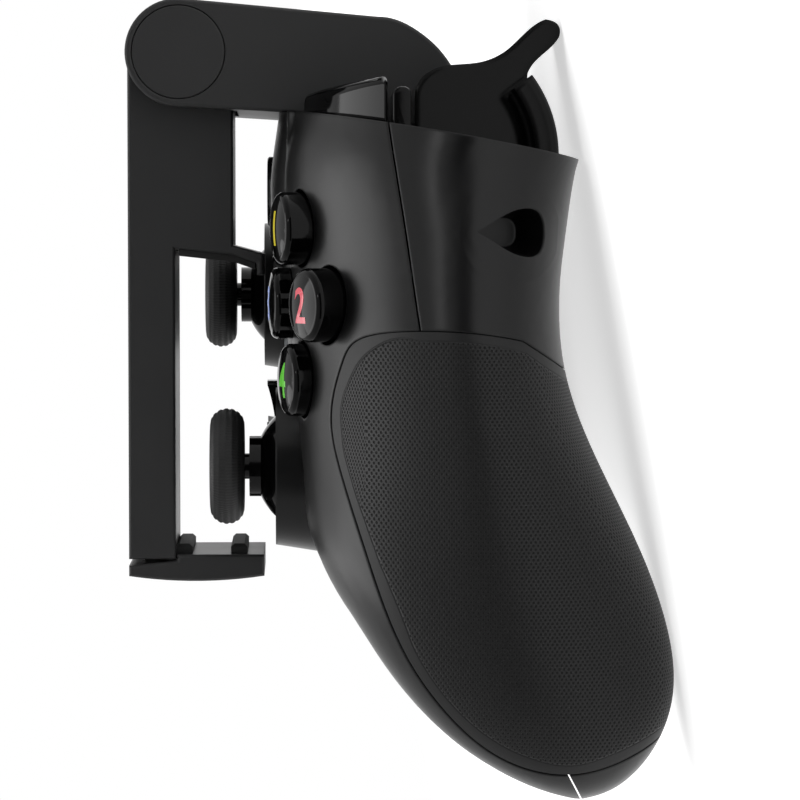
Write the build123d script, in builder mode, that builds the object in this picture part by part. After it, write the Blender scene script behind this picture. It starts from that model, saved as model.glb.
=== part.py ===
import os
from math import cos, hypot, radians, sin

from build123d import *

os.makedirs("parts", exist_ok=True)

# A game controller with a folding phone clip. It is drawn in the face frame: X to the right hand, Y from
# the grips to the triggers, Z out of the face. Y is zero at the upper action button and Z is zero at the
# face's upper edge. The last section lays it on its back, at rest on its grips and its rear edge.

# Casing sizes
half_width = 78.0
casing_top = 26.0
grip_drop = 80.4
casing_depth = 54.0
wall = 2.0
seam_gap = 0.25
fit_gap = 0.3
overrun = 40.0
front_rim_height = 18.6
rear_rim_height = 11.0
rim_depth = 41.0
seat_tilt = 9.7
seat_accuracy = 0.02

# Grips: each row is the section at one height. The heights are shares of the casing's height from its top,
# then come the inner, front, back and outer reach as shares of half_width, the front, outer, back and inner
# levels as shares of casing_depth, and how square the front corner and the inner back corner are.
grip_section_shares = (
    (0.000, 0.256, 0.385, 0.641, 0.827, 0.024, -0.463, -0.806, -0.370, 0.40, 0.80),
    (0.132, 0.256, 0.385, 0.641, 0.872, 0.024, -0.463, -0.774, -0.370, 0.40, 0.80),
    (0.244, 0.256, 0.385, 0.641, 0.904, 0.019, -0.463, -0.731, -0.370, 0.40, 0.76),
    (0.357, 0.269, 0.385, 0.654, 0.933, 0.011, -0.463, -0.713, -0.370, 0.41, 0.68),
    (0.470, 0.308, 0.410, 0.679, 0.959, -0.002, -0.481, -0.748, -0.389, 0.43, 0.60),
    (0.583, 0.372, 0.474, 0.718, 0.979, -0.024, -0.519, -0.841, -0.444, 0.46, 0.55),
    (0.677, 0.449, 0.564, 0.756, 0.992, -0.054, -0.556, -0.926, -0.500, 0.50, 0.55),
    (0.771, 0.538, 0.679, 0.788, 0.995, -0.161, -0.602, -0.987, -0.574, 0.54, 0.55),
    (0.865, 0.609, 0.756, 0.808, 0.985, -0.296, -0.657, -1.000, -0.648, 0.55, 0.55),
    (0.940, 0.673, 0.795, 0.814, 0.949, -0.459, -0.713, -0.941, -0.713, 0.55, 0.55),
    (0.982, 0.737, 0.814, 0.814, 0.895, -0.611, -0.750, -0.861, -0.750, 0.55, 0.55),
    (1.000, 0.788, 0.814, 0.814, 0.840, -0.722, -0.750, -0.778, -0.750, 0.55, 0.55),
)
round_corner_share = 0.55
casing_height = casing_top + grip_drop

# Middle of the casing between the grips: each row is the section at one reach, a share of half_width, then
# how far the front drops, the back rises and the lower edge rises there, as shares of middle_depth.
middle_depth = 22.0
middle_bottom = 50.3
middle_section_shares = (
    (-0.462, 0.40, 0.25, 0.27),
    (-0.308, 0.05, 0.05, 0.03),
    (0.000, 0.00, 0.00, 0.00),
    (0.308, 0.05, 0.05, 0.03),
    (0.462, 0.40, 0.25, 0.27),
)
middle_front_shares = ((0.260, 0.15), (0.060, 0.16), (-0.040, 0.11), (-0.480, 0.05), (-0.800, 0.02))
middle_edge_shares = ((-0.960, -0.10), (-1.000, -0.30), (-1.000, -0.60))
middle_back_shares = ((-0.950, -0.90), (-0.800, -1.0))

# Parting line on the sides: shares of casing_height below the top and of casing_depth behind the face
seam_shares = (
    (-0.060, -0.225),
    (0.101, -0.250),
    (0.254, -0.294),
    (0.378, -0.328),
    (0.620, -0.437),
    (0.808, -0.565),
    (0.987, -0.741),
    (1.100, -0.850),
)
middle_seam = 14.0
seam_start_share = 0.31
seam_end_share = 0.56

# Rubber panels of the grips: the outline as shares of casing_height below the top and of casing_depth
pad_thickness = 1.1
pad_gap = 0.15
pad_middle_shares = (0.66, -0.60)
pad_inner_share = 0.64
pad_low_inner_share = 0.81
pad_inner_turn_share = 0.52
pad_inner_end_share = 0.96
pad_outline_shares = (
    (0.385, -0.591),
    (0.375, -0.477),
    (0.372, -0.320),
    (0.376, -0.231),
    (0.393, -0.152),
    (0.418, -0.128),
    (0.499, -0.099),
    (0.573, -0.128),
    (0.670, -0.189),
    (0.815, -0.305),
    (0.871, -0.385),
    (0.937, -0.541),
    (0.956, -0.713),
    (0.933, -0.881),
    (0.880, -1.100),
)
pad_back_shares = ((0.500, -1.100), (0.440, -0.760))

# Scoops in the sides of the rear shell
scoop_y = 0.4
scoop_z = -30.6
scoop_length = 11.6
scoop_width = 6.2
scoop_depth = 5.0
scoop_section_shares = ((1.0, 1.35), (-1.0, 0.65))
scoop_wall = 1.6
scoop_belly_share = 0.15
scoop_reach_share = 0.862
scoop_lean = 0.55

# Thumb sticks
right_stick_x = 19.0
right_stick_y = -35.9
right_boss_height = 3.0
left_stick_x = -38.0
left_stick_y = -10.2
left_boss_height = 5.2
left_cap_rise = -0.1
stick_cap_radius = 9.0
stick_cap_thickness = 5.3
stick_cap_dish = 1.1
stick_stem_radius = 4.7
stick_reach = 17.6
stick_shaft_radius = 2.0
stick_dome_radius = 10.8
stick_dome_wall = 1.0
stick_dome_angle = 66.0
stick_hole_radius = 8.8
stick_click = 0.5
boss_radius = 12.2
boss_taper = 9.0
boss_depth = 7.0
pivot_depth = 7.4
yoke_size = 9.2
yoke_thickness = 2.6
yoke_hole_radius = 2.9
housing_size = 12.4
housing_wall = 1.1
housing_rise = 1.9

# Four-way pad
pad_cross_x = -20.0
pad_cross_y = -34.4
pad_cross_size = 20.5
pad_cross_arm = 7.4
pad_cross_top = 4.6
pad_cross_dish = 1.7
pad_cross_thickness = 6.4
pad_cross_round = 0.8
pad_cross_gap = 0.6
pad_well_radius = 13.2
pad_well_floor = -0.4
pad_pivot_size = 5.0
pad_pivot_height = 3.0

# Action buttons: place across and up the face, height of the top and lean outward in degrees
action_buttons = {
    "button_one": (42.0, 1.0, 3.1, 15.0),
    "button_two": (53.0, -10.2, -0.6, 25.0),
    "button_three": (31.0, -10.3, 4.1, 6.0),
    "button_four": (42.0, -21.5, 2.0, 15.0),
}
action_radius = 5.4
action_hole_radius = 5.85
action_length = 7.6
action_round = 1.0
action_dome = 0.5
action_skin = 1.8
action_travel = 1.5
post_gap = 0.3

# Small buttons, light and switch
home_x = 0.0
home_y = 7.0
home_radius = 5.6
small_radius = 2.4
small_buttons = {
    "view_button": (-11.5, -5.5),
    "menu_button": (11.5, -5.5),
    "share_button": (0.0, -9.0),
}
small_rise = 0.9
small_length = 5.0
light_y = -17.5
light_radius = 1.1
face_level = 2.6
home_level = 3.5
switch_width = 7.0
switch_height = 3.0
switch_depth = 3.2
switch_knob = 2.4
switch_travel = 3.6
switch_x = -14.0
edge_level = -9.4

# Circuit board, cell, charging socket and shakers
board_front = 11.0
board_thickness = 1.4
board_side_room = 26.0
board_half_width = half_width - board_side_room
board_low_half_width = 27.5
board_top = 10.1
board_step = -26.0
board_bottom = -43.0
mat_thickness = 0.8
cell_width = 24.0
cell_height = 22.0
cell_thickness = 4.6
cell_y = -3.0
socket_width = 9.0
socket_height = 3.2
socket_length = 7.4
socket_wall = 0.35
socket_tongue_width = 6.7
socket_tongue_thickness = 0.7
socket_tongue_length = 5.0
socket_corner = 1.2
shaker_side_room = 17.0
shaker_x = half_width - shaker_side_room
shaker_z = -33.0
shaker_y = -50.0
shaker_radius = 5.5
shaker_length = 12.0
shaker_shaft_radius = 1.0
weight_radius = 6.0
weight_thickness = 5.0
weight_gap = 0.8

# Screws
screw_head_radius = 2.4
screw_head_height = 1.6
screw_radius = 1.1
screw_length = 8.0
screw_boss_radius = 3.2
screw_pilot_gap = 0.05
casing_screw_places = ((-19.5, -18.0), (19.5, -18.0), (0.0, -37.0))

# Bumpers, shoulder brackets and triggers
bumper_inner = 22.0
bumper_side_room = 23.0
bumper_outer = half_width - bumper_side_room
bumper_front = -1.4
bumper_back = -13.4
bumper_foot = 11.5
bumper_low_top = 21.4
bumper_high_top = 23.2
bumper_outline_shares = ((0.20, 0.0), (0.45, 0.15), (0.67, 0.40), (0.88, 0.745))
bumper_edge = 0.7
bracket_inner = 21.7
bracket_side_room = 19.4
bracket_outer = half_width - bracket_side_room
bracket_front = -14.1
bracket_back = -16.7
bracket_top = 21.3
bracket_foot = 1.0
bracket_lug = 2.0
bracket_round = 1.2
trigger_side_room = 24.4
trigger_width = 19.6
trigger_outer = half_width - trigger_side_room
trigger_inner = trigger_outer - trigger_width
trigger_y = 11.5
trigger_z = -18.8
trigger_drum_radius = 19.4
trigger_drum_wall = 3.4
trigger_drum_lip = 2.4
trigger_drum_corner = 3.0
trigger_lip_corner = 1.4
trigger_drum_top = 37.0
trigger_drum_foot = -24.0
trigger_scale = 20.0
trigger_hub_radius = 2.2
trigger_front = 1.4
trigger_foot = -1.6
trigger_hook_shares = (
    (0.44, 0.07),
    (0.55, 0.03),
    (0.63, -0.08),
    (0.66, -0.25),
    (0.68, -0.42),
    (0.76, -0.59),
    (0.86, -0.70),
    (0.94, -0.79),
)
trigger_tip_shares = ((0.985, -0.875), (0.93, -0.975), (0.86, -0.975))
trigger_under_shares = ((0.77, -0.90), (0.68, -0.80), (0.59, -0.745))
trigger_root_share = 0.70
trigger_pin_radius = 1.2
trigger_pin_gap = 0.15
spring_radius = 2.3
spring_wire = 0.7
spring_width = 6.0

# Phone clip
clip_pivot_y = 28.3
clip_pivot_z = 18.0
clip_half_width = 11.0
clip_half_thickness = 8.3
clip_thin = 7.4
clip_thick_end = -2.1
clip_end = -51.2
clip_edge = 0.35
clip_slope = 1.0
clip_wall = 1.7
arm_half_width = 19.2
arm_slot_gap = 0.4
arm_slot_depth = 0.6
arm_back_drop = 2.8
arm_bend_z = -12.9
arm_back_z = -27.6
arm_leg = 5.2
arm_leg_end = -13.0
arm_seat_gap = 0.3
arm_shoulder_shares = ((0.985, 0.16), (0.88, 0.44), (0.75, 0.64), (0.57, 0.81), (0.0, 1.0))
arm_shoulder_height = 19.5
bridge_half_width = 21.4
bridge_depth = 2.0
bridge_back_gap = 1.1
bridge_front_level = -0.1
disc_radius = 7.15
disc_thickness = 1.4
disc_gap = 0.15
hinge_pin_radius = 2.0
hinge_gap = 0.1
washer_radius = 6.0
washer_gap = 0.05
jaw_reach = 21.4
jaw_thickness = 1.5
jaw_droop = 1.3
jaw_lip = 1.1
jaw_lip_height = 1.9
jaw_pad_thickness = 1.1
jaw_pad_inset = 0.6
low_jaw_top = -50.5
low_jaw_bottom = -53.9
low_jaw_bow = 0.8
low_jaw_gap = 0.25
low_jaw_wedge = 0.8
tongue_width = 8.0
tongue_thickness = 3.0
tongue_top = 9.0
tongue_gap = 0.3
rib_height = 1.6
rib_width = 2.6
rib_half_length = 9.4
rib_places = (8.9, 17.6)
rib_taper = 0.5
slot_top = 17.5
jaw_spring_radius = 1.5
jaw_spring_x = 6.6
clip_screw_places = ((-15.9, 6.0), (15.9, 6.0), (-15.9, -8.0), (15.9, -8.0))
clip_screw_length = 8.0


def corner_curve(start, end, corner, start_pull, end_pull):
    """Four control points of a rounded quarter that heads for its corner."""
    start_x, start_z = start
    end_x, end_z = end
    corner_x, corner_z = corner
    return (
        (start_x, start_z),
        (start_x + (corner_x - start_x) * start_pull, start_z + (corner_z - start_z) * start_pull),
        (end_x + (corner_x - end_x) * end_pull, end_z + (corner_z - end_z) * end_pull),
        (end_x, end_z),
    )


def grip_form(inset):
    """Right half of the casing with its grip, inset all round."""
    with BuildPart() as form:
        for row in grip_section_shares:
            level_share, inner_share, front_share, back_share, outer_share = row[:5]
            front_z_share, outer_z_share, back_z_share, inner_z_share, front_pull, back_pull = row[5:]
            level = casing_top - level_share * casing_height + inset * level_share
            inner = (inner_share * half_width + inset, inner_z_share * casing_depth)
            front = (front_share * half_width, front_z_share * casing_depth - inset)
            outer = (outer_share * half_width - inset, outer_z_share * casing_depth)
            back = (back_share * half_width, back_z_share * casing_depth + inset)
            with BuildSketch(Plane.XZ.offset(-level)):
                with BuildLine():
                    Bezier(*corner_curve(front, outer, (outer[0], front[1]), front_pull, front_pull))
                    pull = round_corner_share
                    Bezier(*corner_curve(outer, back, (outer[0], back[1]), pull, pull))
                    Bezier(*corner_curve(back, inner, (inner[0], back[1]), back_pull, back_pull))
                    Bezier(*corner_curve(inner, front, (inner[0], front[1]), pull, pull))
                make_face()
        loft()
    return form.part


def middle_form(inset):
    """Middle of the casing between the two grips, inset all round."""
    with BuildPart() as form:
        for reach_share, front_drop, back_rise, edge_rise in middle_section_shares:
            drop = front_drop * middle_depth + inset
            rise = back_rise * middle_depth + inset
            lift = edge_rise * middle_depth + inset

            def place(shares):
                share_y, share_z = shares
                back_part = min(1, max(0, -share_z))
                low_part = min(1, max(0, -share_y))
                y = share_y * middle_bottom + lift * low_part
                z = share_z * middle_depth - drop * (1 - back_part) + rise * back_part
                return (y, z)

            reach = reach_share * half_width
            with BuildSketch(Plane.YZ.offset(reach)):
                with BuildLine():
                    top_front = place((casing_top / middle_bottom, 0.07))
                    front_points = [top_front] + [place(pair) for pair in middle_front_shares]
                    edge_points = [place(pair) for pair in middle_edge_shares]
                    back_points = [place(pair) for pair in middle_back_shares]
                    top_back = place((casing_top / middle_bottom, -1))
                    Spline(*front_points, *edge_points, *back_points)
                    Line(back_points[-1], top_back)
                    Line(top_back, top_front)
                make_face()
        loft()
    return form.part


def front_space(gap):
    """Space in front of the parting line, moved back by the gap."""
    with BuildPart() as space:
        reaches = (-2 * half_width, -seam_end_share * half_width, -seam_start_share * half_width)
        reaches = reaches + tuple(-reach for reach in reversed(reaches))
        for reach in reaches:
            on_side = abs(reach) > seam_start_share * half_width
            points = [
                (
                    casing_top - level_share * casing_height,
                    (depth_share * casing_depth if on_side else -middle_seam) - gap,
                )
                for level_share, depth_share in seam_shares
            ]
            with BuildSketch(Plane.YZ.offset(reach)):
                with BuildLine():
                    Spline(*points)
                    Polyline(
                        points[-1],
                        (points[-1][0], casing_depth),
                        (points[0][0], casing_depth),
                        points[0],
                    )
                make_face()
        loft(ruled=True)
    return space.part


pieces = {}


def keep(name, shape):
    """Holds a finished piece until all of them are laid down together."""
    pieces[name] = shape


def keep_pair(name, shape):
    """Holds a right-hand piece and its mirror image."""
    keep("right_" + name, shape)
    keep("left_" + name, mirror(shape, about=Plane.YZ))


def rim_height(level):
    """Height of the casing's slanted top edge at a level behind the face."""
    return front_rim_height + (front_rim_height - rear_rim_height) * level / rim_depth


def side_outline(shares):
    """Points across the side view, from shares of the casing's height and depth."""
    return [(casing_top - share * casing_height, depth * casing_depth) for share, depth in shares]


def grown(points, gap):
    """The same points, each moved outward from the panel's middle by the gap."""
    middle_y, middle_z = side_outline([pad_middle_shares])[0]
    moved = []
    for y, z in points:
        reach = hypot(y - middle_y, z - middle_z)
        moved.append((y + (y - middle_y) * gap / reach, z + (z - middle_z) * gap / reach))
    return moved


def leaning_plane(x, y, z, lean):
    """Plane on a button's top that leans outward by an angle."""
    angle = radians(lean)
    return Plane(origin=(x, y, z), x_dir=(cos(angle), 0, -sin(angle)), z_dir=(sin(angle), 0, cos(angle)))


def round_section(top):
    """Plane through the axis of a round piece, with its Y along the axis."""
    return Plane(origin=top.origin, x_dir=top.x_dir, z_dir=-top.y_dir)


action_planes = {name: leaning_plane(*place) for name, place in action_buttons.items()}
stick_places = {
    "right_stick": (right_stick_x, right_stick_y, right_boss_height, 0),
    "left_stick": (left_stick_x, left_stick_y, left_boss_height, left_cap_rise),
}
screw_back = -middle_depth + screw_head_height
middle_floor = -middle_depth + wall
board_back = -board_front - board_thickness

# Whole casing with its slanted top
half_casing = grip_form(0)
with BuildPart() as casing:
    add(half_casing)
    mirror(about=Plane.YZ)
    add(middle_form(0))
    with BuildSketch(Plane.YZ.offset(-half_width)):
        with BuildLine():
            low_front = (rim_height(casing_depth), casing_depth)
            low_back = (rim_height(-casing_depth), -casing_depth)
            high_back = (casing_top + overrun, -casing_depth)
            Polyline(low_front, low_back, high_back, (high_back[0], casing_depth), close=True)
        make_face()
    extrude(amount=2 * half_width, mode=Mode.SUBTRACT)

# Hollow of the casing
with BuildPart() as hollow:
    add(grip_form(wall))
    mirror(about=Plane.YZ)
    add(middle_form(wall))


def pad_space(gap, depth):
    """Layer of the right grip within the outline of its rubber panel."""
    with BuildPart() as space:
        outline = grown(side_outline(pad_outline_shares), gap)
        back = grown(side_outline(pad_back_shares), gap)
        with BuildSketch(Plane.YZ.offset(pad_inner_share * half_width - gap)):
            with BuildLine():
                Spline(*outline)
                Polyline(outline[-1], *back, outline[0])
            make_face()
        extrude(amount=overrun)
        inner = pad_inner_share * half_width - gap
        low_inner = pad_low_inner_share * half_width - gap
        turn_y = casing_top - pad_inner_turn_share * casing_height
        end_y = casing_top - pad_inner_end_share * casing_height
        with BuildSketch(Plane.XY.offset(-2 * casing_depth)):
            with BuildLine():
                Polyline(
                    (inner, turn_y),
                    (low_inner, end_y),
                    (low_inner, -casing_height),
                    (0, -casing_height),
                    (0, turn_y),
                    close=True,
                )
            make_face()
        extrude(amount=3 * casing_depth, mode=Mode.SUBTRACT)
        add(grip_form(depth), mode=Mode.SUBTRACT)
    return space.part


pad_recess = pad_space(pad_gap, pad_thickness + pad_gap)

# What the front shell gains inside: stick rings, pad well and screw posts
with BuildPart() as front_bosses:
    for x, y, top, _ in stick_places.values():
        with BuildSketch(Plane.XY.offset(top)):
            with Locations((x, y)):
                Circle(boss_radius)
        extrude(amount=-boss_depth, taper=-boss_taper)
    with BuildSketch(Plane.XY.offset(-wall)):
        with Locations((pad_cross_x, pad_cross_y)):
            Circle(pad_well_radius + wall)
    extrude(amount=wall)
    with BuildSketch(Plane.XY.offset(-middle_seam + seam_gap)):
        with Locations(*casing_screw_places):
            Circle(screw_boss_radius)
    extrude(amount=middle_seam)

# What is cut from the front shell: stick holes, pad well and cross, button holes, socket and switch
with BuildPart() as front_cuts:
    for x, y, top, _ in stick_places.values():
        with Locations((x, y, top - pivot_depth)):
            Sphere(stick_dome_radius + hinge_gap + fit_gap)
        with BuildSketch(Plane.XY.offset(top - pivot_depth)):
            with Locations((x, y)):
                Circle(stick_hole_radius)
        extrude(amount=overrun)
    with BuildSketch(Plane.XY.offset(pad_well_floor)):
        with Locations((pad_cross_x, pad_cross_y)):
            Circle(pad_well_radius)
    extrude(amount=overrun)
    with BuildSketch(Plane.XY.offset(-boss_depth)):
        with Locations((pad_cross_x, pad_cross_y)):
            Rectangle(pad_cross_size + 2 * pad_cross_gap, pad_cross_arm + 2 * pad_cross_gap)
            Rectangle(pad_cross_arm + 2 * pad_cross_gap, pad_cross_size + 2 * pad_cross_gap)
        with Locations((home_x, home_y)):
            Circle(home_radius + fit_gap)
        with Locations((0, light_y)):
            Circle(light_radius + fit_gap / 2)
        for place in small_buttons.values():
            with Locations(place):
                Circle(small_radius + fit_gap)
    extrude(amount=overrun)
    for plane in action_planes.values():
        with BuildSketch(plane.offset(-action_length)):
            Circle(action_hole_radius)
        extrude(amount=action_length + overrun)
    with BuildSketch(Plane.XZ.offset(middle_bottom - board_thickness - wall)):
        with Locations((0, edge_level)):
            RectangleRounded(socket_width + 2 * fit_gap, socket_height + 2 * fit_gap, socket_corner)
        with Locations((switch_x, edge_level)):
            Rectangle(switch_knob + switch_travel + 2 * fit_gap, switch_knob + 2 * fit_gap)
    extrude(amount=overrun)
    with BuildSketch(Plane.XY.offset(-middle_seam)):
        with Locations(*casing_screw_places):
            Circle(screw_radius + screw_pilot_gap)
    extrude(amount=screw_length)

both_recesses = [pad_recess, mirror(pad_recess, about=Plane.YZ)]
with BuildPart() as front_shell:
    add(casing.part)
    add(front_space(-seam_gap / 2), mode=Mode.INTERSECT)
    add(hollow.part, mode=Mode.SUBTRACT)
    add(front_bosses.part)
    add([front_cuts.part, *both_recesses], mode=Mode.SUBTRACT)
keep("front_shell", front_shell.part)

# Leaf-shaped scoops in the sides, round behind and pointed in front, narrowing towards their floor
with BuildPart() as scoops:
    for side in (-1, 1):
        scoop_plane = Plane(
            origin=(side * scoop_reach_share * half_width, scoop_y, scoop_z),
            x_dir=(0, 1, 0),
            z_dir=(side, 0, -scoop_lean),
        )
        for level_share, size_share in scoop_section_shares:
            across = size_share * scoop_width / 2
            along = size_share * scoop_length / 2
            with BuildSketch(scoop_plane.offset(level_share * scoop_depth)):
                front = (0, side * along)
                back = (0, -side * along)
                belly = -side * scoop_belly_share * along
                with BuildLine():
                    Spline(back, (across, belly), front, tangents=((1, 0), (-1, 2 * side)))
                    Spline(front, (-across, belly), back, tangents=((-1, -2 * side), (1, 0)))
                make_face()
        loft()

# What the rear shell gains inside: shaker cradles, walls behind the scoops and screw posts
with BuildPart() as rear_bosses:
    for side in (-1, 1):
        with Locations((side * shaker_x, shaker_y, shaker_z - shaker_radius)):
            Box(
                shaker_radius,
                shaker_length - wall,
                casing_depth,
                align=(Align.CENTER, Align.CENTER, Align.MAX),
            )
        with BuildSketch(Plane.YZ.offset(side * (half_width - casing_depth / 3))):
            with Locations((scoop_y, scoop_z)):
                Circle(scoop_length / 2 + scoop_wall)
        extrude(amount=side * casing_depth)
    add(casing.part, mode=Mode.INTERSECT)
    with BuildSketch(Plane.XY.offset(-middle_depth + wall / 2)):
        with Locations(*casing_screw_places, *clip_screw_places):
            Circle(screw_boss_radius)
    extrude(amount=middle_depth - middle_seam - seam_gap - wall / 2)

with BuildPart() as rear_cuts:
    with BuildSketch(Plane.XY.offset(-casing_depth)):
        with Locations(*casing_screw_places):
            Circle(screw_head_radius + fit_gap)
    extrude(amount=casing_depth - middle_depth + screw_head_height)
    with BuildSketch(Plane.XY.offset(-casing_depth)):
        with Locations(*casing_screw_places):
            Circle(screw_radius + fit_gap)
        with Locations(*clip_screw_places):
            Circle(screw_radius + screw_pilot_gap)
    extrude(amount=casing_depth)

with BuildPart() as rear_shell:
    add(casing.part)
    add(front_space(seam_gap / 2), mode=Mode.SUBTRACT)
    add(hollow.part, mode=Mode.SUBTRACT)
    add(rear_bosses.part)
    add([rear_cuts.part, scoops.part, *both_recesses], mode=Mode.SUBTRACT)
keep("rear_shell", rear_shell.part)

# Rubber panels of the grips
with BuildPart() as grip_pad:
    add(pad_space(0, pad_thickness))
    add(half_casing, mode=Mode.INTERSECT)
keep_pair("grip_pad", grip_pad.part)

# Cover over the top edge, between the bumpers
with BuildPart() as top_bridge:
    with BuildSketch(Plane.YZ.offset(-bridge_half_width)):
        with BuildLine():
            front_level = bridge_front_level
            back_level = middle_floor + bridge_back_gap
            foot = rim_height(back_level) - bridge_depth
            Polyline(
                (foot, front_level),
                (rim_height(front_level), front_level),
                (rim_height(back_level), back_level),
                (foot, back_level),
                close=True,
            )
        make_face()
    extrude(amount=2 * bridge_half_width)
keep("top_bridge", top_bridge.part)

# Sticks: housing, tilting yoke, stem with its dome, and rubber cap
for name, (x, y, boss_top, cap_rise) in stick_places.items():
    pivot = boss_top - pivot_depth
    cap_top = pivot + stick_reach + cap_rise
    cap_bottom = cap_top - stick_cap_thickness
    with BuildPart() as housing:
        with BuildSketch(Plane.XY.offset(-board_front)):
            with Locations((x, y)):
                Rectangle(housing_size, housing_size)
        extrude(amount=pivot + housing_rise + board_front)
        with BuildSketch(Plane.XY.offset(pivot + housing_rise)):
            with Locations((x, y)):
                Rectangle(housing_size - 2 * housing_wall, housing_size - 2 * housing_wall)
        extrude(amount=-2 * (housing_rise + yoke_thickness / 2), mode=Mode.SUBTRACT)
    keep(name + "_housing", housing.part)

    with BuildPart() as yoke:
        with Locations((x, y, pivot)):
            Box(yoke_size, yoke_size, yoke_thickness)
            Cylinder(yoke_hole_radius, yoke_thickness, mode=Mode.SUBTRACT)
    keep(name + "_yoke", yoke.part)

    stick_section = Plane(origin=(x, y, pivot), x_dir=(1, 0, 0), z_dir=(0, -1, 0))
    stick_axis = Axis((x, y, pivot), (0, 0, 1))
    outer_reach = stick_dome_radius
    inner_reach = stick_dome_radius - stick_dome_wall
    rim_angle = radians(stick_dome_angle)
    mid_angle = rim_angle / 2
    with BuildPart() as stem:
        with BuildSketch(stick_section):
            with BuildLine():
                outer_rim = (outer_reach * sin(rim_angle), outer_reach * cos(rim_angle))
                inner_rim = (inner_reach * sin(rim_angle), inner_reach * cos(rim_angle))
                outer_mid = (outer_reach * sin(mid_angle), outer_reach * cos(mid_angle))
                inner_mid = (inner_reach * sin(mid_angle), inner_reach * cos(mid_angle))
                ThreePointArc((0, outer_reach), outer_mid, outer_rim)
                Line(outer_rim, inner_rim)
                ThreePointArc(inner_rim, inner_mid, (0, inner_reach))
                Line((0, inner_reach), (0, outer_reach))
            make_face()
        revolve(axis=stick_axis)
        with BuildSketch(Plane.XY.offset(pivot + inner_reach - stick_dome_wall)):
            with Locations((x, y)):
                Circle(stick_stem_radius)
        extrude(amount=cap_bottom - stick_click - fit_gap - pivot - inner_reach + stick_dome_wall)
        with BuildSketch(Plane.XY.offset(pivot - yoke_thickness / 2)):
            with Locations((x, y)):
                Circle(stick_shaft_radius)
        extrude(amount=cap_bottom + stick_cap_thickness / 2 - stick_click - pivot)
    keep(name + "_stem", stem.part)

    with BuildPart() as cap:
        with BuildSketch(Plane.XY.offset(cap_bottom)):
            with Locations((x, y)):
                Circle(stick_cap_radius)
        extrude(amount=stick_cap_thickness)
        fillet(cap.edges().filter_by(GeomType.CIRCLE), radius=stick_cap_thickness / 2 - stick_click / 2)
        dish_radius = (stick_cap_radius**2 + stick_cap_dish**2) / (2 * stick_cap_dish)
        with Locations((x, y, cap_top + dish_radius - stick_cap_dish)):
            Sphere(dish_radius, mode=Mode.SUBTRACT)
        with BuildSketch(Plane.XY.offset(cap_bottom)):
            with Locations((x, y)):
                Circle(stick_shaft_radius + hinge_gap)
        extrude(amount=stick_cap_thickness / 2 + fit_gap, mode=Mode.SUBTRACT)
    keep(name + "_cap", cap.part)

# Four-way pad on its tilting pivot
with BuildPart() as direction_pad:
    with BuildSketch(Plane.XY.offset(pad_cross_top - pad_cross_thickness)):
        with Locations((pad_cross_x, pad_cross_y)):
            Rectangle(pad_cross_size, pad_cross_arm)
            Rectangle(pad_cross_arm, pad_cross_size)
    extrude(amount=pad_cross_thickness)
    fillet(direction_pad.edges().filter_by(Axis.Z), radius=pad_cross_round)
    cross_dish_radius = ((pad_cross_size / 2) ** 2 + pad_cross_dish**2) / (2 * pad_cross_dish)
    with Locations((pad_cross_x, pad_cross_y, pad_cross_top + cross_dish_radius - pad_cross_dish)):
        Sphere(cross_dish_radius, mode=Mode.SUBTRACT)
keep("direction_pad", direction_pad.part)

with BuildPart() as direction_pad_pivot:
    pivot_top = pad_cross_top - pad_cross_thickness - fit_gap
    with BuildSketch(Plane.XY.offset(pivot_top)):
        with Locations((pad_cross_x, pad_cross_y)):
            Rectangle(pad_pivot_size, pad_pivot_size)
    extrude(amount=-pad_pivot_height)
keep("direction_pad_pivot", direction_pad_pivot.part)

# Action buttons: domed caps, hollow below
for name, plane in action_planes.items():
    with BuildPart() as action_button:
        with BuildSketch(round_section(plane)):
            with BuildLine():
                shoulder = action_radius - action_round
                crown_mid = (shoulder / 2, -action_dome / 4)
                edge_turn = action_round * sin(radians(45))
                edge_mid = (shoulder + edge_turn, -action_dome - action_round + edge_turn)
                ThreePointArc((0, 0), crown_mid, (shoulder, -action_dome))
                ThreePointArc(
                    (shoulder, -action_dome), edge_mid, (action_radius, -action_dome - action_round)
                )
                inner_radius = action_radius - action_round - post_gap
                Polyline(
                    (action_radius, -action_dome - action_round),
                    (action_radius, -action_length),
                    (inner_radius, -action_length),
                    (inner_radius, -action_skin),
                    (0, -action_skin),
                    (0, 0),
                )
            make_face()
        revolve(axis=Axis(plane.origin, plane.z_dir))
    keep(name, action_button.part)

# Rubber mat below the action buttons, with a post in each
with BuildPart() as action_button_mat:
    for plane in action_planes.values():
        with BuildSketch(plane.offset(-action_skin - action_travel - post_gap)):
            Circle(action_radius - action_round - 2 * post_gap)
        extrude(amount=-board_front - action_radius)
    with BuildSketch(Plane.XY.offset(-board_front)):
        Rectangle(4 * half_width, 4 * half_width)
    extrude(amount=-2 * board_front, mode=Mode.SUBTRACT)
    mat_left = action_buttons["button_three"][0] - action_radius
    mat_right = board_half_width - mat_thickness
    mat_top = action_buttons["button_one"][1] + action_radius
    mat_bottom = action_buttons["button_four"][1] - action_radius / 2
    with BuildSketch(Plane.XY.offset(-board_front)):
        with Locations(((mat_left + mat_right) / 2, (mat_top + mat_bottom) / 2)):
            Rectangle(mat_right - mat_left, mat_top - mat_bottom)
    extrude(amount=mat_thickness)
keep("action_button_mat", action_button_mat.part)

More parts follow.
